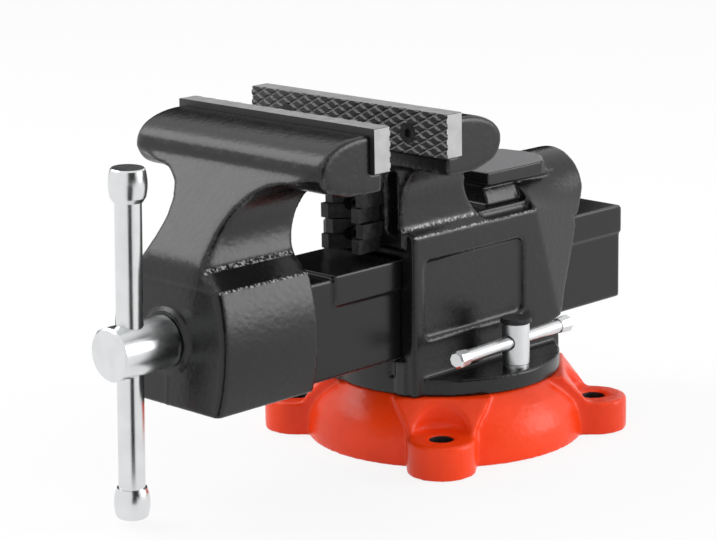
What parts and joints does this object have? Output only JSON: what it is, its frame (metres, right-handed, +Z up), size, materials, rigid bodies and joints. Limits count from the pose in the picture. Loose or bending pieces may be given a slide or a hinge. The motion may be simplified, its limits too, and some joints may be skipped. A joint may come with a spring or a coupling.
{
  "type": "bench vise",
  "caption": "Bench vise: screw-driven sliding jaw, serrated jaw plates and pipe jaws, anvil, on a lockable swivel base that bolts down.",
  "frame": {"origin": "swivel axis at the underside of the base", "axes": "+Z up along the swivel axis, +Y along the slide towards the anvil, -Y towards the handle, +X along the jaws"},
  "size_m": [0.1834, 0.4151, 0.2225],
  "materials": {
    "black_casting": "semi-gloss black enamel on a cast skin",
    "orange_casting": "gloss orange enamel on a cast skin",
    "slide_steel": "smooth satin black",
    "jaw_steel": "ground top and ends, blackened grip face",
    "dark_steel": "black oxide",
    "bright_steel": "polished",
    "screw_steel": "turned, oiled"
  },
  "bodies": {
    "base": {"swivel_base": "orange_casting"},
    "rear_casting": {"vise_body": "black_casting", "screw_nut": "screw_steel", "nut_bolts": "dark_steel", "jaw_plate_rear": "jaw_steel", "rear_plate_screws": "dark_steel", "pipe_jaw_rear": "dark_steel", "rear_pipe_jaw_screws": "dark_steel", "pivot_bolt": "dark_steel", "pivot_washer": "dark_steel", "lock_stud_right": "bright_steel", "lock_stud_left": "bright_steel", "lock_washer_right": "bright_steel", "lock_washer_left": "bright_steel"},
    "sliding_jaw": {"front_jaw": "black_casting", "slide_bar": "slide_steel", "jaw_plate_front": "jaw_steel", "front_plate_screws": "dark_steel", "pipe_jaw_front": "dark_steel", "front_pipe_jaw_screw": "dark_steel"},
    "screw": {"main_screw": "bright_steel", "spring_washer": "screw_steel", "take_up_spring": "screw_steel", "screw_collar": "screw_steel", "collar_pin": "screw_steel"},
    "handle": {"handle_bar": "bright_steel", "handle_cap_upper": "bright_steel", "handle_cap_lower": "bright_steel"},
    "lock_right": {"lock_nut_right": "bright_steel", "lock_cap_right": "bright_steel"},
    "lock_bar_right": {"lock_bar_right": "bright_steel", "lock_knob_right_front": "bright_steel", "lock_knob_right_rear": "bright_steel"},
    "lock_left": {"lock_nut_left": "bright_steel", "lock_cap_left": "bright_steel"},
    "lock_bar_left": {"lock_bar_left": "bright_steel", "lock_knob_left_front": "bright_steel", "lock_knob_left_rear": "bright_steel"}
  },
  "joints": [
    {"name": "swivel", "type": "hinge", "parent": "base", "child": "rear_casting", "pos_m": [0, 0, 0.0405], "axis": [0, 0, 1], "continuous": true},
    {"name": "jaw_slide", "type": "slide", "parent": "rear_casting", "child": "sliding_jaw", "axis": [0, -1, 0], "range_m": [-0.0462, 0.112]},
    {"name": "screw_turn", "type": "hinge", "parent": "sliding_jaw", "child": "screw", "pos_m": [0, -0.257, 0.1035], "axis": [0, -1, 0], "range_deg": [-3330, 8066]},
    {"name": "handle_slide", "type": "slide", "parent": "screw", "child": "handle", "axis": [0.0384, 0, 0.9993], "range_m": [-0.069, 0.065]},
    {"name": "lock_turn_right", "type": "hinge", "parent": "rear_casting", "child": "lock_right", "pos_m": [0.0605, 0, 0.0675], "axis": [0, 0, 1], "range_deg": [-15, 8]},
    {"name": "lock_bar_slide_right", "type": "slide", "parent": "lock_right", "child": "lock_bar_right", "axis": [-0.0645, 0.9979, 0], "range_m": [-0.03, 0.036]},
    {"name": "lock_turn_left", "type": "hinge", "parent": "rear_casting", "child": "lock_left", "pos_m": [-0.0605, 0, 0.0675], "axis": [0, 0, 1], "range_deg": [-8, 15]},
    {"name": "lock_bar_slide_left", "type": "slide", "parent": "lock_left", "child": "lock_bar_left", "axis": [0.0645, 0.9979, 0], "range_m": [-0.03, 0.036]}
  ],
  "couplings": [
    {"joint": "screw_turn", "follows": "jaw_slide", "rad_per_m": 1256.6}
  ]
}
